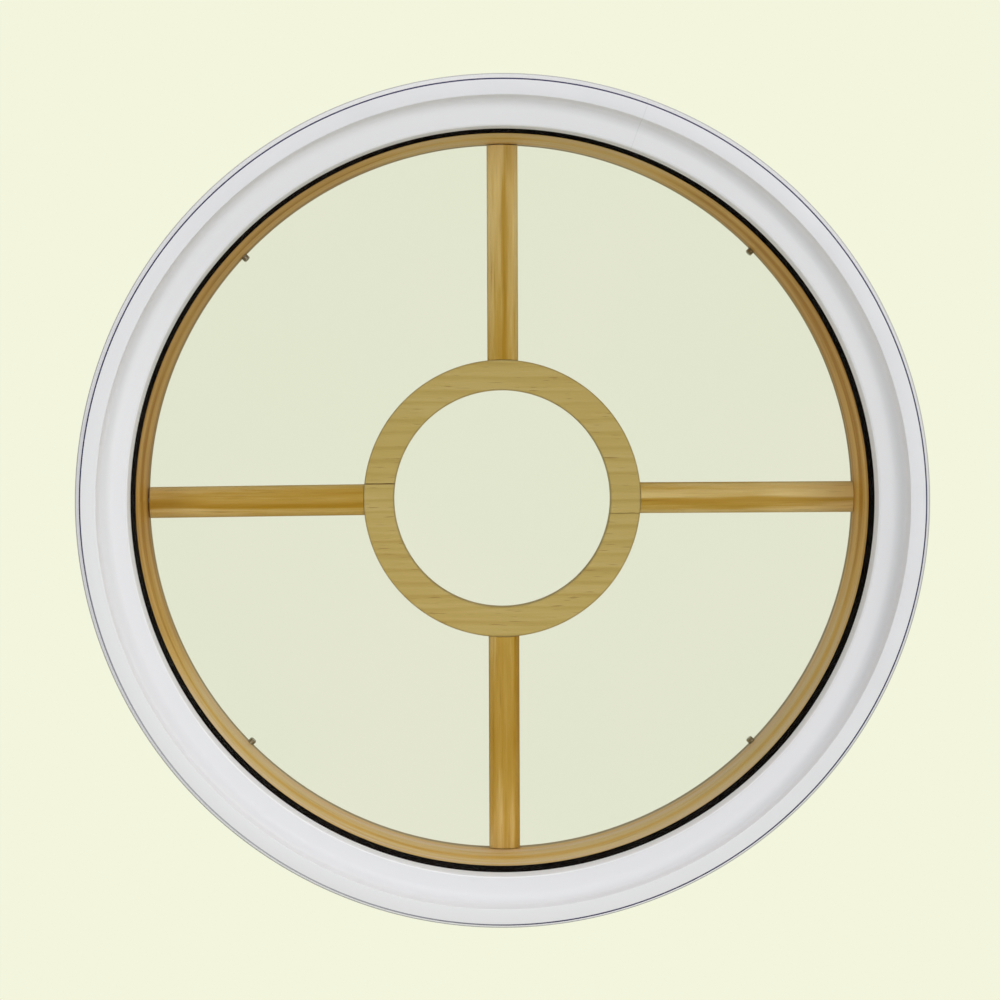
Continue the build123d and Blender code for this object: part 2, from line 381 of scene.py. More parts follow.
mouldingLook = {
    "skin": [(0.3, "e2e3e5"), (0.7, "e6e7e9")], "cloudSize": 40.0,
    "lightToward": (-0.64, 0.0, -0.77), "lightFrom": -200.0, "lightTo": 320.0, "lowLeftLitFace": "eaebec",
    "coveRadius": 308.95, "litRecessTone": "ebecee", "lowLeftLitRecess": "e7e8ea",
    "dustToward": (0.4, 0.0, -0.92), "dustTo": 300.0, "dusted": "e3e4e6",
    "edgeShadowRadius": 320.3, "edgeShadowDepth": -26.5, "edgeShadow": "241f50", "edgeShadowFadeFrom": 220.0, "edgeShadowFadeShare": 0.5,
    "wallFrom": -9.0, "wallTo": -17.0, "wall": "f9f9fb",
    "lipFrom": 321.8, "lip": "e4e4e4", "lowLeftLitLip": "fafafc", "rimShadowFrom": 327.8, "rimShadow": "bdbdbb",
    "revealTo": 289.3, "reveal": "fafbfd", "seam": "b4b4b6", "seamShare": 0.2,
    "peelSize": 1.4286, "peelStrength": 0.08, "peelHeight": 0.05, "roughness": 0.55, "index": 1.53,
}


def whiteMoulding(sizes, look):
    material, tree = newMaterial("pvc_moulded_white")
    place = objectPlace(tree)
    flat, radius, parts = placeRound(tree, place)
    y = parts[1]

    def over(value, edge):
        return maths(tree, "GREATER_THAN", value, edge * mm)

    def under(value, edge):
        return maths(tree, "LESS_THAN", value, edge * mm)

    def along(way):
        return vectorValue(tree, "DOT_PRODUCT", flat, way)

    # Cloudy tone of the skin
    skin = toneRamp(tree, cloudNoise(tree, place, look["cloudSize"], 3.0), look["skin"])
    # Painted light: the face is painted lighter towards the lower left, and the recess a lighter white
    # at the upper right, where its shade is deepest, a little less so at the lower left; dust darkens the
    # recess low down
    lightSide = along(look["lightToward"])
    lowLeftLight = mapped(tree, lightSide, look["lightFrom"] * mm, look["lightTo"] * mm, kind="SMOOTHSTEP")
    face = blend(tree, lowLeftLight, skin, look["lowLeftLitFace"])
    recessLight = blend(tree, lowLeftLight, look["litRecessTone"], look["lowLeftLitRecess"])
    dust = mapped(tree, along(look["dustToward"]), 0.0, look["dustTo"] * mm)
    inCove = under(radius, look["coveRadius"])
    # Painted shadow: a dark blue-grey line along the outer edge of the face, weakened to half towards
    # the lower left where light is painted
    edgeShadow = maths(tree, "MULTIPLY", over(radius, look["edgeShadowRadius"]), under(y, look["edgeShadowDepth"]))
    edgeShadowFade = mapped(tree, lightSide, look["edgeShadowFadeFrom"] * mm, look["lightTo"] * mm, 1.0, look["edgeShadowFadeShare"])
    # Painted light: the cove's wall, between these depths, is painted lighter
    wall = mapped(tree, y, look["wallFrom"] * mm, look["wallTo"] * mm, kind="SMOOTHSTEP")
    # Hairline where the bent length closes
    seam = math.radians(sizes["seamAngle"])
    ahead = over(along((math.cos(seam), 0.0, math.sin(seam))), 0.0)
    beside = along((-math.sin(seam), 0.0, math.cos(seam)))
    near = maths(tree, "COMPARE", beside, 0.0, sizes["seamHalfWidth"] * mm)
    seamed = maths(tree, "MULTIPLY", maths(tree, "MULTIPLY", near, ahead), look["seamShare"])
    # Painted light: the wall of the cove and the reveal are painted a lighter white against their shade,
    # and the rear lip lighter at the lower left; a painted shadow greys the lip's rim
    colour = blend(tree, inCove, face, blend(tree, dust, recessLight, look["dusted"]))
    for share, tone in (
        (maths(tree, "MULTIPLY", edgeShadow, edgeShadowFade), look["edgeShadow"]),
        (maths(tree, "MULTIPLY", wall, inCove), look["wall"]),
        (over(radius, look["lipFrom"]), blend(tree, lowLeftLight, look["lip"], look["lowLeftLitLip"])),
        (over(radius, look["rimShadowFrom"]), look["rimShadow"]),
        (under(radius, look["revealTo"]), look["reveal"]),
        (seamed, look["seam"]),
    ):
        colour = blend(tree, share, colour, tone)
    peel = cloudNoise(tree, place, look["peelSize"], 2.0)
    bumpedFinish(tree, peel, look["peelStrength"], look["peelHeight"], {
        "Base Color": colour, "Roughness": look["roughness"], "IOR": look["index"],
    })
    return material


def plainFinish(name, dark, light, grainSize, roughness, bumpSize, **finish):
    # A finish of two close tones in grains of grainSize mm, with a bump to match
    material, tree = newMaterial(name)
    grain = cloudNoise(tree, objectPlace(tree), grainSize, 3.0, 0.6)
    tone = toneRamp(tree, grain, [(0.35, dark), (0.65, light)])
    inputs = {"Base Color": tone, "Roughness": roughness}
    if "metallic" in finish:
        inputs["Metallic"] = finish["metallic"]
    else:
        inputs["IOR"] = finish.get("index", 1.5)
        inputs["Specular IOR Level"] = finish.get("gloss", 0.5)
    bumpedFinish(tree, grain, 0.3, bumpSize, inputs)
    return material


glassLook = {
    "tint": [(0.3, "f7f8f7"), (0.7, "f8f8f8")], "waveSize": 166.7, "index": 1.16, "passing": "fbfbfa",
}


def paneGlass(look):
    # Clear float glass, polished, 3 mm: a faint grey-green that darkens what is behind it a little.
    # The low index keeps its reflections as faint as a coated pane's. Lamps pass it as through a
    # clear opening, so that the wood behind it is lit.
    material, tree = newMaterial("float_glass_clear")
    tint = toneRamp(tree, cloudNoise(tree, objectPlace(tree), look["waveSize"], 1.0), look["tint"])
    glass = addNode(tree, "ShaderNodeBsdfPrincipled", {
        "Base Color": tint, "Roughness": 0.0, "IOR": look["index"], "Transmission Weight": 1.0,
    })
    clear = addNode(tree, "ShaderNodeBsdfTransparent", {"Color": look["passing"]})
    path = addNode(tree, "ShaderNodeLightPath").outputs
    passing = maths(tree, "MAXIMUM", path["Is Shadow Ray"], path["Is Diffuse Ray"])
    showShader(tree, mixShaders(tree, passing, glass, clear))
    return material


ringPineMaterial = grillePine("pine_grille_ring", ringPine)
barPineMaterial = grillePine("pine_grille_bars", barPine)
jambMaterial = jambPineMaterial(jambPine)
mouldingMaterial = whiteMoulding(brickmouldSizes, mouldingLook)
glassMaterial = paneGlass(glassLook)
# Closed-cell foam: sooty black that gives no light back
foamTape = plainFinish("foam_tape_black", "060505", "0d0b0a", 0.6, 1.0, 0.1, gloss=0.02)
# Painted steel strip: the black ring seen through the glass
spacerSteel = plainFinish("spacer_steel_black", "080402", "0f0703", 2.0, 0.7, 0.02, gloss=0.05)
# Desiccant in its black matrix: dull and finely pitted
desiccantBead = plainFinish("desiccant_matrix", "080503", "100b08", 0.8, 1.0, 0.1, gloss=0.02)
# Butyl: black and tacky, with hardly a shine
butylSealant = plainFinish("butyl_sealant_black", "050404", "0b0909", 3.0, 0.8, 0.1, gloss=0.05)
# Rubber of the setting blocks: dark grey with a soft sheen
blockRubber = plainFinish("setting_block_rubber", "1c1c1c", "292929", 1.0, 0.7, 0.05)
# Nylon of the spring pins: cream, half glossy
nylonPin = plainFinish("nylon_natural", "d6d2c6", "e3dfd3", 2.0, 0.4, 0.02, index=1.53)
# Beech of the dowels: pinkish tan and close-grained
beechDowel = plainFinish("beech_dowel", "b98f66", "cfa57b", 0.7, 0.6, 0.05)
# Zinc on steel: dull grey metal with a cloudy, slightly olive plating
nailZinc = plainFinish("nail_galvanised", "8c8878", "b4b0a2", 1.2, 0.42, 0.05, metallic=1.0)
pinSteel = plainFinish("pin_zinc_plated", "8c8878", "b4b0a2", 1.2, 0.42, 0.05, metallic=1.0)
print("materials made")


# Turned rings: an outline swept round the window's axis

def turnedRingTree():
    tree, given = newTree("turnedRing", {
        "Turning radius": "Float", "Segments": "Int", "Material": "Material",
    })
    outline = addNode(tree, "GeometryNodeMeshToCurve", {"Mesh": given["Geometry"]})
    circle = addNode(tree, "GeometryNodeCurvePrimitiveCircle", {
        "Radius": given["Turning radius"], "Resolution": given["Segments"],
    })
    upright = addNode(tree, "GeometryNodeSetCurveNormal", {"Curve": circle}, mode="Z_UP")
    swept = addNode(tree, "GeometryNodeCurveToMesh", {"Curve": upright, "Profile Curve": outline})
    stood = addNode(tree, "GeometryNodeTransform", {
        "Geometry": swept, "Rotation": (math.radians(90), 0, 0),
    })
    endTree(tree, stood, given["Material"])
    return tree


ringTree = turnedRingTree()


def turnedRing(name, outline, material, sizes):
    # outline: (radius, depth) in mm, anticlockwise with the depth upwards
    turningRadius = sizes["turningRadius"]
    points = [((r - turningRadius) * mm, y * mm, 0) for r, y in outline]
    edges = [(i, (i + 1) % len(points)) for i in range(len(points))]
    mesh = bpy.data.meshes.new(name)
    mesh.from_pydata(points, edges, [])
    return runTree(newObject(name, mesh), ringTree, {
        "Turning radius": turningRadius * mm, "Segments": sizes["segments"], "Material": material,
    })


def brickmouldOutline(sizes):
    reveal, tongue = sizes["revealRadius"], sizes["tongueRadius"]
    face, front = sizes["faceRadius"], sizes["faceFront"]
    lip, lipFront = sizes["lipRadius"], -sizes["lipThickness"]
    plain = sizes["backRound"]
    corners = [
        (reveal, sizes["tongueEnd"], plain),
        (reveal, sizes["coveBottom"], sizes["revealRound"]),
    ]
    for i in range(sizes["coveSteps"] + 1):
        turn = math.radians(90) * i / sizes["coveSteps"]
        corners.append((
            sizes["coveInner"] + sizes["coveRadius"] * math.sin(turn),
            sizes["coveBottom"] - sizes["coveRadius"] * (1 - math.cos(turn)),
            0,
        ))
    corners += [
        (sizes["coveInner"] + sizes["coveRadius"], front, sizes["arrisRound"]),
        (face, front, sizes["faceRound"]),
        (face, lipFront, sizes["innerRound"]),
        (lip, lipFront, sizes["lipRound"]),
        (lip, 0, plain),
        (sizes["reliefOuter"], 0, plain),
        (sizes["reliefOuter"], -sizes["reliefDepth"], plain),
        (sizes["reliefInner"], -sizes["reliefDepth"], plain),
        (sizes["reliefInner"], 0, plain),
        (tongue, 0, plain),
        (tongue, sizes["tongueEnd"], plain),
    ]
    return roundCorners(corners)


brickmould = turnedRing(
    "brickmould_ring", brickmouldOutline(brickmouldSizes), mouldingMaterial, brickmouldSizes)
finishPiece(brickmould, "white_moulding", "brickmould")

jambSizes = {
    "boreRadius": 287.5, "outerRadius": 306.5, "depth": 116.0, "rebateRadius": 297.0,
    "rebateDepth": 32.6, "chamfer": 1.5, "roomRound": 0.4, "rebateRound": 0.2, "outerRound": 0.3,
    "turningRadius": 297.0, "segments": 432,
}


def jambOutline(sizes):
    bore, outer, rebate = sizes["boreRadius"], sizes["outerRadius"], sizes["rebateRadius"]
    depth, ease, soft = sizes["depth"], sizes["chamfer"], sizes["roomRound"]
    return roundCorners([
        (bore, depth - ease, soft),
        (bore, sizes["rebateDepth"], sizes["rebateRound"]),
        (rebate, sizes["rebateDepth"], 0),
        (rebate, 0, sizes["rebateRound"]),
        (outer, 0, sizes["outerRound"]),
        (outer, depth - ease, soft),
        (outer - ease, depth, soft),
        (bore + ease, depth, soft),
    ], steps=3)


jamb = turnedRing("pine_jamb", jambOutline(jambSizes), jambMaterial, jambSizes)
finishPiece(jamb, "jamb_pine", "jamb")

# The glazing: two panes held apart by a black channel that opens towards the middle

glazingSizes = {
    "outerTapeInner": 288.4, "outerTapeFront": 10.4, "innerTapeInner": 287.5, "innerTapeFront": 31.0,
    "tapeWidth": 6.0, "tapeThickness": 1.6, "channelInner": 288.0, "channelOuter": 292.5,
    "channelFront": 15.4, "channelBack": 27.6, "channelWall": 0.5, "beadInner": 290.0,
    "sealantInner": 288.8, "glassRadius": 295.0, "airFront": 15.0, "airBack": 28.0,
    "softRound": 0.3, "channelRound": 0.12, "sealantRound": 0.08,
    "turningRadius": 292.0, "segments": 360,
}


def boxOutline(inner, outer, front, back, soft):
    return roundCorners([
        (inner, back, soft), (inner, front, soft), (outer, front, soft), (outer, back, soft),
    ], steps=3)


def channelOutline(inner, outer, front, back, wallFront, wallBack, web, soft):
    # A U open towards the axis
    return roundCorners([
        (inner, back, soft), (inner, wallBack, soft), (web, wallBack, soft), (web, wallFront, soft),
        (inner, wallFront, soft), (inner, front, soft), (outer, front, soft), (outer, back, soft),
    ], steps=3)


def tapeOutline(inner, front, sizes):
    outer, back = inner + sizes["tapeWidth"], front + sizes["tapeThickness"]
    return boxOutline(inner, outer, front, back, sizes["softRound"])


def glazingRings(sizes):
    channelFront, channelBack = sizes["channelFront"], sizes["channelBack"]
    wallFront, wallBack = channelFront + sizes["channelWall"], channelBack - sizes["channelWall"]
    channelOuter = sizes["channelOuter"]
    web = channelOuter - sizes["channelWall"]
    return [
        ("outer_tape_ring", foamTape, "glazing_tape", "outer_glazing_tape",
         tapeOutline(sizes["outerTapeInner"], sizes["outerTapeFront"], sizes)),
        ("inner_tape_ring", foamTape, "glazing_tape", "inner_glazing_tape",
         tapeOutline(sizes["innerTapeInner"], sizes["innerTapeFront"], sizes)),
        ("spacer_ring", spacerSteel, "spacer_steel", "spacer_channel", channelOutline(
            sizes["channelInner"], channelOuter, channelFront, channelBack, wallFront, wallBack, web,
            sizes["channelRound"])),
        ("desiccant_ring", desiccantBead, "desiccant", "desiccant_bead", boxOutline(
            sizes["beadInner"], web, wallFront, wallBack, sizes["softRound"])),
        ("butyl_ring", butylSealant, "edge_sealant", "edge_sealant", channelOutline(
            sizes["sealantInner"], sizes["glassRadius"], sizes["airFront"], sizes["airBack"],
            channelFront, channelBack, channelOuter, sizes["sealantRound"])),
    ]


for name, material, slotName, cadNode, outline in glazingRings(glazingSizes):
    finishPiece(turnedRing(name, outline, material, glazingSizes), slotName, cadNode)

for name in ("outer_pane", "inner_pane"):
    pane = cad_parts[name]
    pane.data.materials.clear()
    pane.data.materials.append(glassMaterial)
print("frame and glazing made")


# The grille: a ring of two sawn halves and four bars scribed to it and to the bore of the jamb

grilleSizes = {
    "front": 100.0, "back": 112.0, "ringOuter": 113.0, "ringInner": 88.2, "ringChamfer": 0.7,
    "chamferBulge": (0.3, 0.35), "ringGreyReach": 0.7, "jointOffset": 12.5, "jointEase": 0.3,
    "glueWidth": 0.55, "ringSteps": 200, "barWidth": 25.0, "crownWidth": 6.0, "filletWidth": 3.0,
    "coveDepth": 2.0, "coveSteps": 9, "arrisRound": 0.5, "barGreyReach": 1.4, "coveGap": 0.05,
    "barEnd": 286.9, "endEase": 0.35, "lengthSteps": 12, "easeHalfWidth": 12.5, "easeHalfHeight": 6.0,
    "settle": (0.58, 0.0, -0.15),
}
grilleMiddle = (grilleSizes["front"] + grilleSizes["back"]) / 2
grilleHalf = (grilleSizes["back"] - grilleSizes["front"]) / 2


def settled(piece):
    # The grille rests a little low and to the right in its play
    piece.data.transform(Matrix.Translation(Vector(grilleSizes["settle"]) * mm))
    return piece


def mirroredLoop(section):
    # The section's front side, then its back side in the other direction
    return section + [(place, -height, mark) for place, height, mark in reversed(section)]


def easedEnd(inset, sizes):
    # What is left of a section's width and height where its end is drawn in by inset mm
    return 1 - inset / sizes["easeHalfWidth"], 1 - inset / sizes["easeHalfHeight"]


def sweptPiece(name, loops, section, grainOf, glueOf, boardAndShadeOf, material):
    # loops: rows of points in mm, each a mirrored section; the first and last row are capped
    count = len(section)
    lastRow = len(loops) - 1
    points = [point for loop in loops for point in loop]
    faces = []
    for row in range(lastRow):
        for i in range(count):
            j = (i + 1) % count
            faces.append((row * count + i, row * count + j, (row + 1) * count + j, (row + 1) * count + i))
    for i in range(count // 2 - 1):
        for start in (0, lastRow * count):
            faces.append((start + i, start + count - 1 - i, start + count - 2 - i, start + i + 1))
    mesh = bpy.data.meshes.new(name)
    mesh.from_pydata([point * mm for point in points], [], faces)
    mesh.attributes.new("grain", "FLOAT_VECTOR", "POINT")
    for label in ("edge", "glue", "boardAndShade"):
        mesh.attributes.new(label, "FLOAT", "POINT")
    for number, point in enumerate(points):
        row, i = divmod(number, count)
        mesh.attributes["grain"].data[number].vector = grainOf(point)
        mesh.attributes["edge"].data[number].value = 1.0 if row in (0, lastRow) else section[i][2]
        mesh.attributes["glue"].data[number].value = glueOf(row)
        mesh.attributes["boardAndShade"].data[number].value = boardAndShadeOf(row)
    work = bmesh.new()
    work.from_mesh(mesh)
    bmesh.ops.recalc_face_normals(work, faces=work.faces)
    work.to_mesh(mesh)
    work.free()
    mesh.materials.append(material)
    return settled(newObject(name, mesh))


def ringSection(sizes):
    # Front side from the inner to the outer edge as (radius, half height, edge mark)
    inner, outer, cut = sizes["ringInner"], sizes["ringOuter"], sizes["ringChamfer"]
    bulgeIn, bulgeDown = cut * sizes["chamferBulge"][0], cut * sizes["chamferBulge"][1]
    plain = cut + sizes["ringGreyReach"]
    side = [
        (0.0, grilleHalf - cut, 1.0),
        (bulgeIn, grilleHalf - bulgeDown, 1.0),
        (cut, grilleHalf, 0.8),
        (plain, grilleHalf, 0.0),
    ]
    innerSide = [(inner + place, height, mark) for place, height, mark in side]
    outerSide = [(outer - place, height, mark) for place, height, mark in reversed(side)]
    return innerSide + [((inner + outer) / 2, grilleHalf, 0.0)] + outerSide


def ringHalf(name, startAngle, shift, glueMarks, sizes):
    section = mirroredLoop(ringSection(sizes))
    centreRadius = (sizes["ringInner"] + sizes["ringOuter"]) / 2
    ease, wide, steps = sizes["jointEase"], sizes["glueWidth"], sizes["ringSteps"]
    # Rows: angle from the first joint, distance along the arc in mm, ease
    rows = [(0.0, 0.0, ease), (0.0, ease, 0.0), (0.0, wide, 0.0)]
    rows += [(math.pi * i / steps, 0.0, 0.0) for i in range(1, steps)]
    rows += [(math.pi, -wide, 0.0), (math.pi, -ease, 0.0), (math.pi, 0.0, ease)]
    loops = []
    for turn, offset, inset in rows:
        widthShare, heightShare = easedEnd(inset, sizes)
        loop = []
        for r, h, _ in section:
            radius = centreRadius + (r - centreRadius) * widthShare
            angle = startAngle + turn + offset / r - math.asin(sizes["jointOffset"] / r)
            loop.append(Vector((
                radius * math.cos(angle), grilleMiddle - h * heightShare, radius * math.sin(angle),
            )))
        loops.append(loop)

    def grainOf(point):
        return (point.x + shift[0], point.z + shift[1], point.y + shift[2])

    def glueOf(row):
        if row < 2:
            return glueMarks[0]
        return glueMarks[1] if row > len(rows) - 3 else 0.0

    def boardAndShadeOf(row):
        return 0.0

    return sweptPiece(name, loops, section, grainOf, glueOf, boardAndShadeOf, ringPineMaterial)


ringUpper = ringHalf("ring_half_upper", 0.0, (40.0, 12.0, 0.0), (0.3, 0.9), grilleSizes)
finishPiece(ringUpper, "grille_pine", "grille_ring_upper")
ringLower = ringHalf("ring_half_lower", math.pi, (520.0, 330.0, 25.0), (0.9, 0.3), grilleSizes)
finishPiece(ringLower, "grille_pine", "grille_ring_lower")


def barSection(sizes):
    # Front side across the bar as (across, half height, edge mark): fillet, cove, crown, cove, fillet
    halfWidth = sizes["barWidth"] / 2
    halfFlat = halfWidth - sizes["filletWidth"]
    halfCrown = sizes["crownWidth"] / 2
    shoulder = grilleHalf - sizes["coveDepth"]
    run = halfFlat - halfCrown
    bow = (run ** 2 + sizes["coveDepth"] ** 2) / (2 * sizes["coveDepth"])
    side = []
    for step in range(4):
        turn = math.radians(90) * step / 3
        side.append((
            halfWidth - sizes["arrisRound"] * (1 - math.sin(turn)),
            shoulder - sizes["arrisRound"] * (1 - math.cos(turn)),
            0.9,
        ))
    side.reverse()
    side.append((halfWidth - sizes["barGreyReach"], shoulder, 0.45))
    side.append((halfFlat + sizes["coveGap"], shoulder, 0.35))
    for step in range(sizes["coveSteps"] + 1):
        across = halfFlat - run * step / sizes["coveSteps"]
        height = grilleHalf - bow + math.sqrt(bow ** 2 - (across - halfCrown) ** 2)
        side.append((across, height, 0.0))
    side.append((halfCrown / 2, grilleHalf, 0.0))
    left = [(-x, h, mark) for x, h, mark in side]
    return left + [(0.0, grilleHalf, 0.0)] + side[::-1]


def scribedBar(name, angle, shift, tonesAndLight, leans, sizes):
    # Tones, painted light and shade included: how dark the board is at the ring, halfway and at the jamb;
    # leans: how far in mm the fitted bar stands off its line at the ring and at the jamb
    section = mirroredLoop(barSection(sizes))
    ease, steps = sizes["endEase"], sizes["lengthSteps"]
    turn = Matrix.Rotation(-math.radians(angle), 3, "Y")
    # Rows: share of the way to the jamb, distance beyond it in mm, ease
    rows = [(0.0, -ease, ease)]
    rows += [(i / steps, 0.0, 0.0) for i in range(steps + 1)]
    rows += [(1.0, ease, ease)]
    loops = []
    for share, beyond, inset in rows:
        widthShare, heightShare = easedEnd(inset, sizes)
        lean = leans[0] + (leans[1] - leans[0]) * share
        loop = []
        for x, h, _ in section:
            start = math.sqrt(sizes["ringOuter"] ** 2 - x ** 2) + ease
            end = math.sqrt(sizes["barEnd"] ** 2 - x ** 2) - ease
            along = start + (end - start) * share + beyond
            loop.append(turn @ Vector((along, grilleMiddle - h * heightShare, x * widthShare + lean)))
        loops.append(loop)
    back = turn.inverted()
    lastRow = len(rows) - 1

    def grainOf(point):
        flat = back @ point
        return (flat.x + shift[0], flat.z + shift[1], flat.y + shift[2])

    def glueOf(row):
        return 0.5 if row in (0, lastRow) else 0.0

    def boardAndShadeOf(row):
        share = row / lastRow * 2
        if share < 1:
            return tonesAndLight[0] + (tonesAndLight[1] - tonesAndLight[0]) * share
        return tonesAndLight[1] + (tonesAndLight[2] - tonesAndLight[1]) * (share - 1)

    return sweptPiece(name, loops, section, grainOf, glueOf, boardAndShadeOf, barPineMaterial)


# Angle in degrees, where the board was cut from in mm, tones and leans of each bar. The tones carry
# painted light: lighter towards the jamb on the right and top bars, under the frame's shadow, and
# darker halfway along the bottom bar, where more light falls
barPlaces = {
    "right": (0, (0.0, 34.0, 0.0), (0.16, 0.1, -0.46), (0.0, 0.0)),
    "top": (90, (700.0, 24.0, 11.0), (0.38, 0.0, -0.28), (-1.0, -1.2)),
    "left": (180, (1400.0, 57.0, -17.0), (0.28, 0.16, 0.04), (0.4, 1.8)),
    "bottom": (270, (2100.0, -38.0, 22.0), (0.22, 0.58, -0.05), (0.9, 0.6)),
}
for side, (angle, shift, tonesAndLight, leans) in barPlaces.items():
    bar = scribedBar("bar_" + side, angle, shift, tonesAndLight, leans, grilleSizes)
    finishPiece(bar, "grille_pine", "grille_bar_" + side)
print("grille made")


# Small pieces that stand round the axis: one is modelled on +X, the tree sets out the rest

offsetNames = ["Offset 1", "Offset 2", "Offset 3", "Offset 4"]


def roundTheAxisTree():
    tree, given = newTree("roundTheAxis", {
        "Count": "Int", "First angle": "Float", "Step angle": "Float",
        **{label: "Float" for label in offsetNames}, "Material": "Material",
    })
    places = addNode(tree, "GeometryNodePoints", {"Count": given["Count"]})
    number = addNode(tree, "GeometryNodeInputIndex").outputs[0]
    stepped = maths(tree, "MULTIPLY_ADD", number, given["Step angle"], given["First angle"])
    # Each of the first four copies may stand a little off its step
    offset = addNode(tree, "GeometryNodeIndexSwitch", data_type="FLOAT")
    while len(offset.index_switch_items) < len(offsetNames):
        offset.index_switch_items.new()
    tree.links.new(number, offset.inputs[0])
    for item, label in enumerate(offsetNames):
        tree.links.new(given[label], offset.inputs[item + 1])
    turned = maths(tree, "MULTIPLY", maths(tree, "ADD", stepped, offset), -1.0)
    facing = addNode(tree, "ShaderNodeCombineXYZ", {1: turned})
    rotation = addNode(tree, "FunctionNodeEulerToRotation", {0: facing})
    copies = addNode(tree, "GeometryNodeInstanceOnPoints", {
        "Points": places, "Instance": given["Geometry"], "Rotation": rotation,
    })
    endTree(tree, copies, given["Material"])
    return tree


axisTree = roundTheAxisTree()


def roundTheAxis(name, mesh, count, firstAngle, material, offsets=()):
    # Angles in degrees; the copies share the circle evenly but for their offsets
    inputs = {
        "Count": count, "First angle": math.radians(firstAngle), "Step angle": math.radians(360 / count),
        "Material": material,
    }
    inputs.update(zip(offsetNames, (math.radians(offset) for offset in offsets)))
    return runTree(newObject(name, mesh), axisTree, inputs)


def loftedMesh(name, strips):
    # strips: lists of equal rows of points in mm, each joined row to row and capped at both ends
    work = bmesh.new()
    for strip in strips:
        rows = [[work.verts.new(Vector(point) * mm) for point in row] for row in strip]
        for lower, upper in zip(rows, rows[1:]):
            for i in range(len(lower)):
                j = (i + 1) % len(lower)
                work.faces.new((lower[i], lower[j], upper[j], upper[i]))
        work.faces.new(rows[0])
        work.faces.new(rows[-1])
    bmesh.ops.recalc_face_normals(work, faces=work.faces)
    mesh = bpy.data.meshes.new(name)
    work.to_mesh(mesh)
    work.free()
    return mesh


def lathedRod(name, stations, axis, centre, sides=24):
    # stations: (place along the axis, radius) in mm; the axis is "X", "Y" or "Z" through the centre
    rows = []
    for place, radius in stations:
        row = []
        for i in range(sides):
            turn = 2 * math.pi * i / sides
            u, v = radius * math.cos(turn), radius * math.sin(turn)
            local = {"X": (place, u, v), "Y": (u, place, v), "Z": (u, v, place)}[axis]
            row.append(Vector(local) + Vector(centre))
        rows.append(row)
    return loftedMesh(name, [rows])


# Stop pins: short zinc-plated pins in the bore, between the bars
stopPin = {
    "start": 283.0, "end": 299.5, "radius": 2.8, "tip": 0.8, "depth": 108.0, "sides": 32,
    "firstAngle": 45, "offsets": (-0.5, 1.5, -1.0, 0.5),
}
stopPinMesh = lathedRod("stopPin", [
    (stopPin["start"], stopPin["radius"] - stopPin["tip"]),
    (stopPin["start"] + stopPin["tip"], stopPin["radius"]),
    (stopPin["end"], stopPin["radius"]),
], "X", (0, stopPin["depth"], 0), stopPin["sides"])
stopPins = roundTheAxis(
    "stop_pin_set", stopPinMesh, 4, stopPin["firstAngle"], pinSteel, stopPin["offsets"])
finishPiece(stopPins, "pin_steel", "stop_pins")

# Rods of the grille: spring pins into the jamb, dowels into the ring, dowels across its joints
endPin = {"start": 268.9, "end": 292.5, "radius": 2.0, "ease": 0.3, "axis": "X", "centre": (0, 106.0, 0)}
barDowel = {"start": 103.0, "end": 128.0, "radius": 3.0, "ease": 0.3, "axis": "X", "centre": (0, 106.0, 0)}
ringDowel = {
    "start": -8.0, "end": 8.0, "radius": 2.5, "ease": 0.3, "axis": "Z", "centre": (100.6, 106.0, -12.5),
}


def grilleRods(name, rod, count, material):
    start, end, radius, ease = rod["start"], rod["end"], rod["radius"], rod["ease"]
    stations = [(start, radius - ease), (start + ease, radius), (end - ease, radius), (end, radius - ease)]
    rodMesh = lathedRod(name, stations, rod["axis"], rod["centre"])
    return settled(roundTheAxis(name, rodMesh, count, 0, material))


finishPiece(grilleRods("end_pin_set", endPin, 4, nylonPin), "pin_nylon", "grille_end_pins")
finishPiece(grilleRods("bar_dowel_set", barDowel, 4, beechDowel), "dowel_beech", "grille_bar_dowels")
finishPiece(grilleRods("ring_dowel_set", ringDowel, 2, beechDowel), "dowel_beech", "grille_ring_dowels")

# Finish nails: driven through the cove into the jamb, their heads below the filler
nail = {
    "ringRadius": 301.75, "top": -7.13, "headRadius": 1.6, "headEase": 0.2, "headThickness": 1.2,
    "neck": 0.01, "radius": 1.0, "length": 38.0, "point": 2.5, "pointRadius": 0.15, "sides": 16,
    "count": 6, "firstAngle": 30,
}
nailNeck = nail["top"] + nail["headThickness"]
nailEnd = nail["top"] + nail["length"]
nailMesh = lathedRod("nail", [
    (nail["top"], nail["headRadius"] - nail["headEase"]),
    (nail["top"] + nail["headEase"], nail["headRadius"]),
    (nailNeck, nail["headRadius"]),
    (nailNeck + nail["neck"], nail["radius"]),
    (nailEnd - nail["point"], nail["radius"]),
    (nailEnd, nail["pointRadius"]),
], "Y", (nail["ringRadius"], 0, 0), nail["sides"])
nails = roundTheAxis("nail_set", nailMesh, nail["count"], nail["firstAngle"], nailZinc)
finishPiece(nails, "galvanised_nail", "brickmould_nails")

# Setting blocks: strips of rubber under and over the edge of the glass
block = {
    "inner": 295.0, "outer": 297.0, "front": 13.0, "back": 30.0, "length": 60.0, "halfSpread": 30.0,
    "steps": 12, "firstAngle": 90,
}


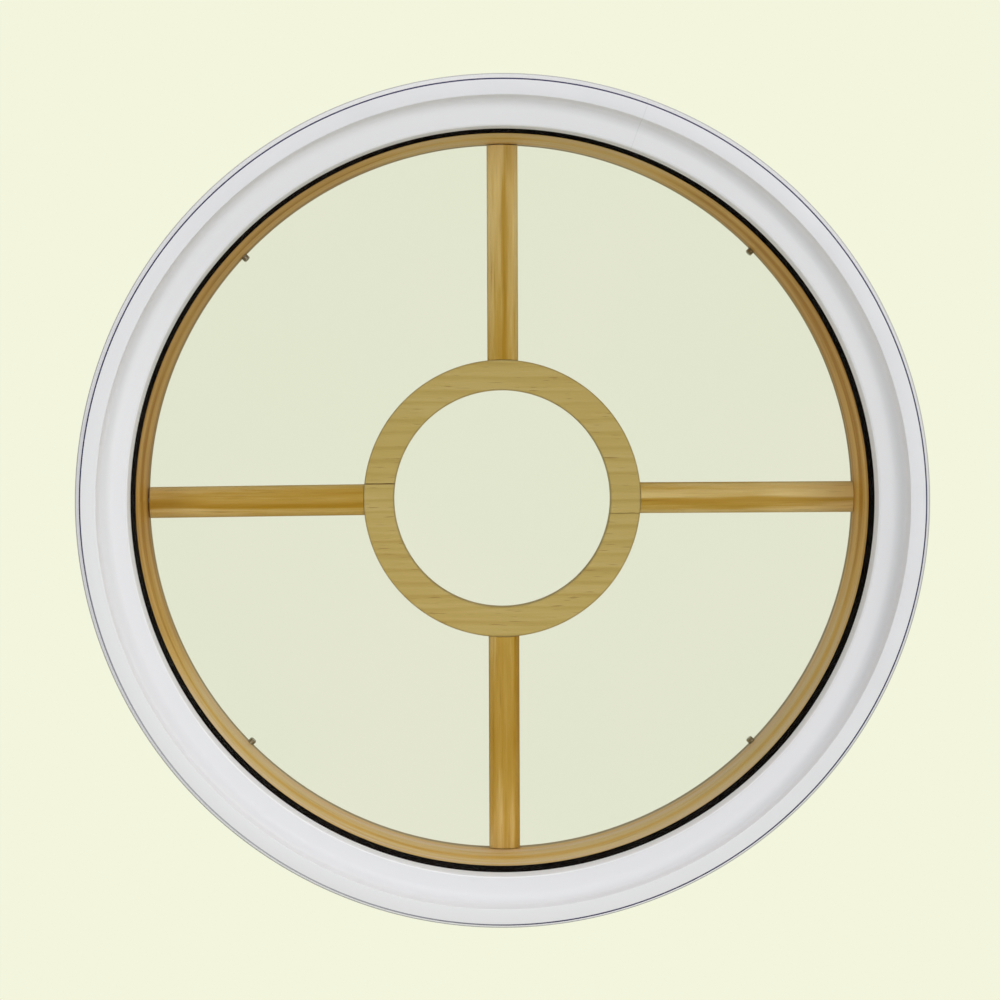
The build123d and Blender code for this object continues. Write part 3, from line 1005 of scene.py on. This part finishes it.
def blockPair(sizes):
    # Two strips that follow the edge of the glass, one on each side of +X
    section = [
        (sizes["inner"], sizes["front"]), (sizes["outer"], sizes["front"]),
        (sizes["outer"], sizes["back"]), (sizes["inner"], sizes["back"]),
    ]
    strips = []
    for side in (-1, 1):
        turn = Matrix.Rotation(math.radians(sizes["halfSpread"]) * side, 3, "Y")
        strip = []
        for i in range(sizes["steps"] + 1):
            z = sizes["length"] * (i / sizes["steps"] - 0.5)
            strip.append([turn @ Vector((math.sqrt(r * r - z * z), y, z)) for r, y in section])
        strips.append(strip)
    return loftedMesh("settingBlocks", strips)


blocks = roundTheAxis("setting_block_set", blockPair(block), 2, block["firstAngle"], blockRubber)
finishPiece(blocks, "block_rubber", "setting_blocks")
print("small pieces set out")


# Studio: pale floor below, soft key from the front right, a rake from above that catches the walls
# facing it, a small front lamp and even fill from the world

studio = {
    "key": {"place": (4.3, -13.3, 1.5), "size": 6.0, "power": 500.0, "colour": "fffdfb"},
    "rake": {"place": (2.3, -1.55, 5.3), "size": 2.0, "power": 84.0, "colour": "ffffff"},
    "front": {"place": (-2.4, -7.0, -1.0), "size": 1.6, "power": 75.0, "colour": "ffffff"},
    "backdrop": "f3f5dd", "fill": "fbfbff", "fillStrength": 0.46, "fillFront": 0.13,
    "floorPaint": "c9cbb8", "floorGlow": 0.52, "floorDrop": -0.78, "floorRadius": 1.9,
    "floorFadeFrom": 0.9, "floorFadeTo": 1.4, "card": "080808", "cardDistance": 2.6, "cardSize": 2.6,
}


def lampAt(name, look):
    # A round lamp turned towards the middle of the window
    data = bpy.data.lights.new(name, "AREA")
    data.shape = "DISK"
    data.size = look["size"]
    data.energy = look["power"]
    data.color = linearColour(look["colour"])[:3]
    lamp = newObject(name, data)
    lamp.location = look["place"]
    lamp.rotation_mode = "QUATERNION"
    lamp.rotation_quaternion = (-Vector(look["place"])).to_track_quat("-Z", "Y")
    return lamp


lampAt("key", studio["key"])
lampAt("rake", studio["rake"])
lampAt("front", studio["front"]).visible_glossy = False

world = bpy.data.worlds.new("studio")
bpy.context.scene.world = world
world.use_nodes = True
worldTree = world.node_tree
worldTree.nodes.clear()


def seenDirectly(tree):
    # 1 for rays that show the background: from the camera, in a reflection or through glass
    path = addNode(tree, "ShaderNodeLightPath").outputs
    cameraOrGlossy = maths(tree, "MAXIMUM", path["Is Camera Ray"], path["Is Glossy Ray"])
    return maths(tree, "MAXIMUM", cameraOrGlossy, path["Is Transmission Ray"])


# The fill is strongest straight in front of the window, on the outdoor side
direction = addNode(worldTree, "ShaderNodeSeparateXYZ", {
    0: addNode(worldTree, "ShaderNodeTexCoord").outputs["Generated"],
})
ahead = maths(worldTree, "MAXIMUM", maths(worldTree, "MULTIPLY", direction.outputs[1], -1.0), 0.0)
squared = maths(worldTree, "POWER", ahead, 2.0)
fillLight = addNode(worldTree, "ShaderNodeBackground", {
    "Color": studio["fill"],
    "Strength": maths(worldTree, "MULTIPLY_ADD", squared, studio["fillFront"], studio["fillStrength"]),
})
backdrop = addNode(worldTree, "ShaderNodeBackground", {"Color": studio["backdrop"], "Strength": 1.0})
shown = mixShaders(worldTree, seenDirectly(worldTree), fillLight, backdrop)
addNode(worldTree, "ShaderNodeOutputWorld", {"Surface": shown})


def floorMaterial():
    # Painted floor that fades out into the backdrop and keeps the window's shadow
    material, tree = newMaterial("studio_floor")
    distance = vectorValue(tree, "LENGTH", objectPlace(tree))
    fade = mapped(tree, distance, studio["floorFadeFrom"], studio["floorFadeTo"], kind="SMOOTHSTEP")
    paint = addNode(tree, "ShaderNodeBsdfDiffuse", {"Color": studio["floorPaint"]})
    glow = addNode(tree, "ShaderNodeEmission", {
        "Color": studio["backdrop"],
        "Strength": maths(tree, "MULTIPLY", seenDirectly(tree), studio["floorGlow"]),
    })
    solid = addNode(tree, "ShaderNodeAddShader", {0: paint, 1: glow})
    showShader(tree, mixShaders(tree, fade, solid, addNode(tree, "ShaderNodeBsdfTransparent")))
    return material


def cardMaterial():
    # Black where a reflection shows it, clear to every other ray
    material, tree = newMaterial("black_card")
    bounces = addNode(tree, "ShaderNodeLightPath").outputs["Glossy Depth"]
    black = addNode(tree, "ShaderNodeBsdfDiffuse", {"Color": studio["card"]})
    gone = addNode(tree, "ShaderNodeBsdfTransparent")
    showShader(tree, mixShaders(tree, maths(tree, "GREATER_THAN", bounces, 0.5), gone, black))
    return material


def flatSquare(name, corners, material):
    mesh = bpy.data.meshes.new(name)
    mesh.from_pydata(corners, [], [(0, 1, 2, 3)])
    mesh.materials.append(material)
    return newObject(name, mesh)


wide = studio["floorRadius"]
floorCorners = [(-wide, -wide, 0), (wide, -wide, 0), (wide, wide, 0), (-wide, wide, 0)]
floor = flatSquare("studio_floor", floorCorners, floorMaterial())
floor.location = (0, 0, studio["floorDrop"])

# A black card behind the lens, seen only in reflections, keeps the glass and the spacer clear
away, tall = -studio["cardDistance"], studio["cardSize"] / 2
cardCorners = [(-tall, away, -tall), (tall, away, -tall), (tall, away, tall), (-tall, away, tall)]
card = flatSquare("black_card", cardCorners, cardMaterial())
card.visible_camera = False
card.visible_diffuse = False
card.visible_shadow = False

# Camera: a long lens a little above and to the left of the axis, turned to keep the ring in the middle

cameraSizes = {
    "place": (-0.028, -1.746, 0.0665), "lens": 81.65, "sensor": 36.0, "imageWidth": 1000,
    "faceCentre": (504.2, 504.6), "roll": 0.28,
}
cameraData = bpy.data.cameras.new("photoCamera")
cameraData.lens = cameraSizes["lens"]
cameraData.sensor_width = cameraSizes["sensor"]
camera = newObject("photoCamera", cameraData)
camera.location = cameraSizes["place"]
imageMiddle = cameraSizes["imageWidth"] / 2
pixelsPerUnit = cameraSizes["lens"] / cameraSizes["sensor"] * cameraSizes["imageWidth"]
offsetX = (cameraSizes["faceCentre"][0] - imageMiddle) / pixelsPerUnit
offsetY = (imageMiddle - cameraSizes["faceCentre"][1]) / pixelsPerUnit
facePoint = Vector((0, brickmouldSizes["faceFront"] * mm, 0))
looking = (facePoint - camera.location).to_track_quat("-Z", "Y")
turnAside = Quaternion((0, 1, 0), math.atan(offsetX)) @ Quaternion((1, 0, 0), -math.atan(offsetY))
rolled = Quaternion((0, 0, 1), -math.radians(cameraSizes["roll"]))
camera.rotation_mode = "QUATERNION"
camera.rotation_quaternion = looking @ turnAside @ rolled
bpy.context.scene.camera = camera
bpy.context.scene.view_settings.view_transform = "Standard"
print("studio and camera set")
